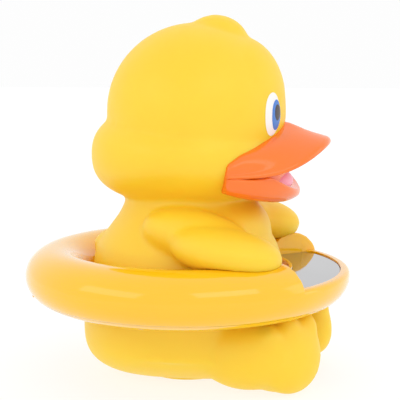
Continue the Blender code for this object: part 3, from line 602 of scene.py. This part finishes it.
def screw_shape(centre, head_low, tip, head=2.0, shank=0.9, height=1.0):
    """Pan-head screw pointing up, with a cross recess in its head."""
    x, y = centre[:2]
    work = turned([(0, head_low), (head * 0.62, head_low), (head * 0.85, head_low + height * 0.14),
                   (head * 0.97, head_low + height * 0.4), (head, head_low + height * 0.62),
                   (head * 0.96, head_low + height), (shank, head_low + height),
                   (shank, tip - shank), (0, tip)], 48, (x, y))
    for turn in (0, 90):
        bar = bmesh.new()
        place = (Matrix.Translation((x, y, head_low))
                 @ Matrix.Rotation(math.radians(turn + 20), 4, "Z")
                 @ Matrix.Diagonal((head * 1.1, head * 0.26, height * 1.1, 1)))
        bmesh.ops.create_cube(bar, size=1.0, matrix=place)
        work = cut(work, bar)
    return work


def pane():
    """Display window: a sector with rounded corners and a fine edge chamfer."""
    work = bmesh.new()
    arcs = [0.0, 0.05, 0.15, 0.3, 0.5, 0.8, 1.2, 1.7, 2.3, 2.9, 3.4]
    half = POCKET_ANGLE - PANE_GAP / PER_DEGREE
    angles = [-half + arc / PER_DEGREE for arc in arcs]
    inner_part = [mix(angles[-1], -angles[-1], k / 30) for k in range(1, 30)]
    angles = angles + inner_part + [-angle for angle in reversed(angles)]
    loops = []
    for level, inset in ((POCKET_FLOOR + 0.15, 0.0), (PANE_TOP - PANE_EDGE, 0.0),
                         (PANE_TOP, PANE_EDGE)):
        outer_side, inner_side = [], []
        for angle in angles:
            arc = (half - abs(angle)) * PER_DEGREE
            outer, inner = pocket_edges(arc)
            shrink = 1 - inset / 30
            outer_side.append(polar(outer - PANE_GAP - inset, angle * shrink, level))
            inner_side.append(polar(inner + PANE_GAP + inset, angle * shrink, level))
        loops.append([work.verts.new(point) for point in outer_side + inner_side[::-1]])
    count = len(loops[0])
    for here, there in zip(loops, loops[1:]):
        for k in range(count):
            work.faces.new((here[k], here[(k + 1) % count], there[(k + 1) % count], there[k]))
    for loop, flip in ((loops[0], True), (loops[-1], False)):
        span = len(angles)
        for k in range(span - 1):
            quad = (loop[k], loop[k + 1], loop[count - 2 - k], loop[count - 1 - k])
            work.faces.new(quad[::-1] if flip else quad)
    return work


# ---------------------------------------------------------------- build

VINYL = surface("duck_vinyl", (0.95, 0.625, 0.024), (0.96, 0.645, 0.030), 0.46, grain=0.15,
                grain_depth=0.03, subsurface=0.3)
RING_PLASTIC = surface("ring_plastic", (0.95, 0.52, 0.003), (0.96, 0.54, 0.005), 0.11,
                       rough_spread=0.02, coat=0.6, grain=0.01)
ORANGE = surface("beak_plastic", (0.95, 0.185, 0.010), (0.96, 0.20, 0.014), 0.2, rough_spread=0.04,
                 coat=0.25, grain=0.05)
PINK = surface("tongue_vinyl", (0.95, 0.36, 0.5), (0.96, 0.4, 0.53), 0.35, grain=0.1)
WHITE = surface("eye_white", (0.92, 0.91, 0.88), (0.9, 0.9, 0.9), 0.22, grain=0.03)
BLUE = surface("eye_blue", (0.045, 0.19, 0.62), (0.06, 0.23, 0.68), 0.22, grain=0.03)
DARK = surface("eye_dark", (0.035, 0.022, 0.022), (0.05, 0.035, 0.035), 0.2, grain=0.03)
MIRROR = surface("display_film", (0.42, 0.42, 0.43), (0.44, 0.44, 0.45), 0.05, metallic=1.0,
                 rough_spread=0.015, grain=0.0)
STEEL = surface("screw_steel", (0.55, 0.55, 0.53), (0.66, 0.66, 0.64), 0.3, metallic=1.0, grain=0.1)
GOLD = surface("contact_plating", (0.8, 0.55, 0.2), (0.86, 0.62, 0.28), 0.25, metallic=1.0)
RUBBER = surface("grey_rubber", (0.05, 0.05, 0.052), (0.075, 0.075, 0.078), 0.7, grain=0.4)
FRAME_WHITE = surface("frame_plastic", (0.75, 0.74, 0.7), (0.8, 0.79, 0.75), 0.45, grain=0.2)
IRON = surface("ballast_iron", (0.14, 0.14, 0.14), (0.22, 0.2, 0.18), 0.6, metallic=1.0, grain=0.6,
               grain_depth=0.1)
BOARD = surface("board_green", (0.01, 0.13, 0.04), (0.015, 0.17, 0.05), 0.35, colour_scale=300)
BLACK = surface("chip_black", (0.015, 0.015, 0.015), (0.025, 0.025, 0.025), 0.5, grain=0.3)
GLASS = surface("display_glass", (0.25, 0.29, 0.25), (0.28, 0.33, 0.28), 0.1, coat=0.5)
WIRE = surface("wire_red", (0.45, 0.02, 0.015), (0.5, 0.03, 0.02), 0.4)

body = duck_skin()
skin = BVHTree.FromBMesh(body)
settle("duck_skin", body, VINYL, sharp=60, replaces=["duck_body"])
settle("seat_skin", seat_skin(), VINYL, sharp=50, replaces=["seat_body"])
settle("bill", cut(bill(), tongue_shape(TONGUE_GAP)), ORANGE, sharp=50, replaces=["beak"])
settle("tongue_pad", tongue_shape(0.0), PINK, replaces=["tongue"])

for word, side in (("right", -1), ("left", 1)):
    for part, paint, values in (
            ("white", WHITE, (25.5, 80.9, 4.0, 6.3, -0.3, 0.07)),
            ("iris", BLUE, (21.7, 80.7, 2.6, 4.4, 0.0, 0.13)),
            ("pupil", DARK, (20.5, 81.4, 1.7, 2.3, 0.05, 0.19))):
        settle(f"eye_{part}_{word}", eye_patch(skin, side, *values), paint, sharp=60,
               replaces=[f"eye_{word}"])

settle("ring_top", ring_upper(), RING_PLASTIC, sharp=55, replaces=["ring_upper_shell"])
front = [(polar(RING_R, turn), bore, BORE_LOW, BORE_HIGH)
         for turn, bore in ((BUTTON_AT, BUTTON_BORE), (PROBE_AT, PROBE_BORE),
                            (PINS_AT[0], PIN_BORE), (PINS_AT[1], PIN_BORE))]
door_edge = DOOR_ANGLE + 0.1
cover = ring_lower(door_edge - 180, 180 - door_edge, 200)
settle("ring_bottom", bored(cover, screw_seats(RING_SCREWS) + front), RING_PLASTIC, sharp=40,
       replaces=["ring_bottom_cover"])
door = ring_lower(180 - DOOR_ANGLE, 180 + DOOR_ANGLE, 32)
settle("door_plate", bored(door, screw_seats(DOOR_SCREWS)), RING_PLASTIC,
       "battery_door", 40, ["battery_door"])
for index, turn in enumerate(RING_SCREWS, 1):
    settle(f"ring_screw_{index}_fine", screw_shape(polar(RING_R, turn), SCREW_LOW, 33.5), STEEL,
           replaces=[f"ring_screw_{index}"])
for index, turn in enumerate(DOOR_SCREWS, 1):
    settle(f"door_screw_{index}_fine", screw_shape(polar(RING_R, turn), SCREW_LOW, 32.5), STEEL,
           f"door_screw_{index}", 35, [f"door_screw_{index}"])
settle("pane", pane(), MIRROR, sharp=30, replaces=["display_window"])

settle("button_cap", turned([(0, 24.0), (1.2, 24.03), (2.3, 24.12), (2.8, 24.35), (3.0, 24.7),
                             (3.0, 26.0), (4.0, 26.0), (4.0, 26.6), (1.3, 26.6), (1.2, 27.3),
                             (0, 27.3)], 64, polar(RING_R, BUTTON_AT)[:2]), RUBBER, "unit_button", 35,
       ["unit_button"])
settle("probe_cap", turned([(0, 23.0), (0.6, 23.05), (1.2, 23.3), (1.6, 23.65), (1.9, 24.2),
                            (1.9, 27.8), (0, 27.8)], 48, polar(RING_R, PROBE_AT)[:2]), STEEL,
       replaces=["temperature_probe"])
for index, turn in enumerate(PINS_AT, 1):
    settle(f"contact_pin_{index}", turned([(0, 23.9), (0.5, 23.93), (0.8, 24.05), (0.9, 24.3),
                                           (0.9, 27.8), (0, 27.8)], 40, polar(RING_R, turn)[:2]),
           GOLD, replaces=[f"water_contact_{index}"])
settle("base_stopper", turned([(0, GROUND + 0.25), (10.6, GROUND + 0.25), (11.0, GROUND),
                               (12.9, GROUND),
                               (13.5, 2.5), (13.7, 2.9), (13.7, 5.9), (16.5, 5.9), (16.5, 7.1),
                               (4.0, 7.1), (3.6, 13.0), (0, 13.0)], 96), VINYL,
       replaces=["base_plug"])

for node, paint in (
        ("neck_plate", FRAME_WHITE), ("seat_plate", FRAME_WHITE), ("ballast_weight", IRON),
        ("ring_seal_outer", RUBBER), ("ring_seal_inner", RUBBER), ("door_seal", RUBBER),
        ("lcd_panel", GLASS), ("contact_strip_front", RUBBER), ("contact_strip_rear", RUBBER),
        ("circuit_board", BOARD), ("controller_chip", BLACK), ("switch_dome", STEEL),
        ("battery_cell_1", STEEL), ("battery_cell_2", STEEL),
        ("battery_contact_positive", STEEL), ("battery_contact_negative", STEEL),
        ("door_contact", STEEL), ("battery_lead_positive", WIRE), ("battery_lead_negative", WIRE),
        ("body_screw_1", STEEL), ("body_screw_2", STEEL), ("body_screw_3", STEEL),
        ("body_screw_4", STEEL), ("board_screw_1", STEEL), ("board_screw_2", STEEL)):
    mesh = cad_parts[node].data
    mesh.materials.clear()
    mesh.materials.append(paint)

# ---------------------------------------------------------------- stage, light, camera

floor_mesh = bpy.data.meshes.new("floor")
floor_mesh.from_pydata([(-4, -4, 0), (4, -4, 0), (4, 4, 0), (-4, 4, 0)], [], [(0, 1, 2, 3)])
floor = bpy.data.objects.new("floor", floor_mesh)
bpy.context.scene.collection.objects.link(floor)
floor.location.z = -0.0002
FLOOR_WHITE = surface("floor_white", (0.22, 0.22, 0.22), (0.24, 0.24, 0.24), 0.8, colour_scale=3,
                      grain=0.0)
floor_shader = FLOOR_WHITE.node_tree.nodes["Principled BSDF"]
floor_shader.inputs["Emission Color"].default_value = (1, 1, 1, 1)
floor_shader.inputs["Emission Strength"].default_value = 0.77
floor_mesh.materials.append(FLOOR_WHITE)

world = bpy.data.worlds.new("studio")
bpy.context.scene.world = world
world.use_nodes = True
backdrop = world.node_tree.nodes["Background"]
backdrop.inputs["Color"].default_value = (1, 1, 1, 1)
backdrop.inputs["Strength"].default_value = 0.985


def softbox(name, place, size, power):
    """A rectangular lamp aimed at the object; metres and watts."""
    light = bpy.data.lights.new(name, "AREA")
    light.shape = "RECTANGLE"
    light.size, light.size_y = size
    light.energy = power
    made = bpy.data.objects.new(name, light)
    bpy.context.scene.collection.objects.link(made)
    made.location = place
    made.rotation_euler = (CENTRE - Vector(place)).to_track_quat("-Z", "Y").to_euler()


softbox("key", (-0.55, -0.45, 0.6), (0.65, 0.3), 0.6)
softbox("fill", (-0.5, 0.55, 0.45), (0.65, 0.3), 0.5)
softbox("front", (0.1, -0.8, 0.3), (0.4, 0.4), 0.3)

camera_data = bpy.data.cameras.new("camera")
camera_data.lens = 90
camera_data.sensor_width = 36
camera_data.clip_start = 0.01
camera = bpy.data.objects.new("camera", camera_data)
bpy.context.scene.collection.objects.link(camera)
camera.location = (-0.2959, -0.0506, 0.0921)
camera.rotation_euler = Vector((0.979, 0.155, -0.132)).to_track_quat("-Z", "Y").to_euler()
bpy.context.scene.camera = camera
bpy.context.scene.view_settings.view_transform = "Standard"
